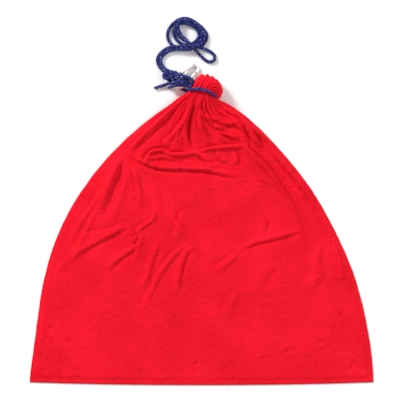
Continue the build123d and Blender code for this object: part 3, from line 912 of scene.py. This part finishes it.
SPRING_START, SPRING_END = 8.35, 17.7  # from the rivet, along the gate, mm
SPRING_TURNS, SPRING_R, SPRING_WIRE = 8, 1.15, 0.35


def gate_spring(material):
    """The spring in the gate, built at one fixed length; the real one shortens as the plunger is pushed in.
    """
    pivot = np.array(joint_named("gate_hinge")["pos_m"])
    runs = np.array(joint_named("plunger_slide")["axis"])
    side = np.cross(runs, (0, 0, 1.0))
    side /= np.linalg.norm(side)
    up = np.cross(runs, side)
    t = np.linspace(0, 1, SPRING_TURNS * 28)
    turned = 2 * math.pi * SPRING_TURNS * t
    along = (SPRING_START + (SPRING_END - SPRING_START) * t) * MM
    circle = np.cos(turned)[:, None] * side + np.sin(turned)[:, None] * up
    line = pivot + along[:, None] * runs + SPRING_R * MM * circle
    _, across, over = line_frames(line)
    angle = np.linspace(0, 2 * math.pi, 10, endpoint=False)
    ring = np.cos(angle)[:, None] * across[:, None] + np.sin(angle)[:, None] * over[:, None]
    points = line[:, None] + ring * (SPRING_WIRE / 2 * MM)
    piece = grid_mesh("compressed_gate_spring", points / MM, material, closed=True)
    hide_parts("gate_spring")
    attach(piece, "gate")
    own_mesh(piece)


THREAD_RED = [(0, (0.42, 0.004, 0.010, 1)), (1, (0.66, 0.010, 0.020, 1))]
SEAL_NAVY = [(0, (0.004, 0.005, 0.015, 1)), (1, (0.02, 0.025, 0.08, 1))]


def thread_material():
    """Twisted sewing thread, darker than the cloth."""
    mat, bsdf, nodes, links = new_material("red_sewing_thread")
    twist = nodes.new("ShaderNodeTexWave")
    twist.inputs["Scale"].default_value = 900
    twist.inputs["Distortion"].default_value = 1.5
    links.new(object_place(nodes), twist.inputs["Vector"])
    colour_by(nodes, links, bsdf, twist.outputs[0], THREAD_RED)
    bsdf.inputs["Roughness"].default_value = 0.6
    links.new(bump(nodes, links, twist.outputs[0], 0.4, 0.1 * MM), bsdf.inputs["Normal"])
    return mat


def metal_material(name, tone, rough, scratches):
    """Metal with fine drawn lines, handling marks and rubbed patches."""
    mat, bsdf, nodes, links = new_material(name)
    place = object_place(nodes)
    cloudy = noise(nodes, links, place, 130, 6)
    drawn = noise(nodes, links, stretched(nodes, links, place, (2600, 130, 2600), math.radians(50)), 1, 4)
    dull, bright = (tone * 0.86, tone * 0.86, tone * 0.88, 1), (tone, tone, tone * 1.01, 1)
    colour_by(nodes, links, bsdf, cloudy.outputs[0], [(0.35, dull), (0.62, bright)])
    spread = math_node(nodes, links, "MULTIPLY", drawn.outputs[0], scratches)
    links.new(math_node(nodes, links, "ADD", spread, rough), bsdf.inputs["Roughness"])
    bsdf.inputs["Metallic"].default_value = 1
    links.new(bump(nodes, links, drawn.outputs[0], 0.12, 0.05 * MM), bsdf.inputs["Normal"])
    return mat


def melted_material():
    """Dark, lumpy, melted cord."""
    mat, bsdf, nodes, links = new_material("melted_cord_end")
    lumps = noise(nodes, links, object_place(nodes), 700, 4)
    colour_by(nodes, links, bsdf, lumps.outputs[0], SEAL_NAVY)
    bsdf.inputs["Roughness"].default_value = 0.3
    links.new(bump(nodes, links, lumps.outputs[0], 0.6, 0.4 * MM), bsdf.inputs["Normal"])
    return mat


def cloth(material):
    """The two layers, the front one settled in a simulation."""
    s_grid, y_grid = np.meshgrid(np.linspace(0, 1, ACROSS), cloth_rows())
    front = grid_mesh("front_layer", front_surface(s_grid, y_grid), material)
    back = grid_mesh("back_layer", back_surface(s_grid, y_grid), material)
    edge = np.minimum(s_grid, 1 - s_grid) * (ACROSS - 1)
    held = np.maximum(SOFT_HOLD, smooth_step(y_grid, 225, 290))
    held[edge < 3] = 1
    held[y_grid < HEM_LOW + 16] = 1
    drape(front, held)
    thicken(front, offset=0)
    thicken(back, offset=0)
    return front, back


def bag():
    """The cloth pieces of the bag."""
    red = cloth_material()
    front, back = cloth(red)
    bunched = ruff(red)
    left = side_seam("left_side_seam", "left_seam", 0.0, -1, red)
    right = side_seam("right_side_seam", "right_seam", 1.0, 1, red)
    turned, edge, outward = hem(red)
    thread = stitches(edge, outward, thread_material())
    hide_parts("front_panel", "neck_gather")
    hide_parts("back_panel")
    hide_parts("neck_ruff")
    for piece in (front, back, bunched, left, right, turned):
        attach(piece, "bag")
    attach(thread, "bag")


def finish_metal_and_seals():
    """The gate's spring, and the materials of the parts that stay as the CAD has them."""
    bright = metal_material("bright_plated_steel", 0.94, 0.34, 0.2)
    drawn = metal_material("drawn_steel", 0.55, 0.26, 0.2)
    gate_spring(metal_material("spring_wire", 0.45, 0.3, 0.2))
    for parts, material in ((("hook_frame", "hook_gate"), bright),
                            (("gate_rivet", "latch_pin", "spring_plunger"), drawn),
                            (("long_tail_seal", "short_tail_seal"), melted_material())):
        for part in parts:
            frame["nodes"][part].data.materials.clear()
            frame["nodes"][part].data.materials.append(material)


camera()
studio()
cords()
bag()
finish_metal_and_seals()
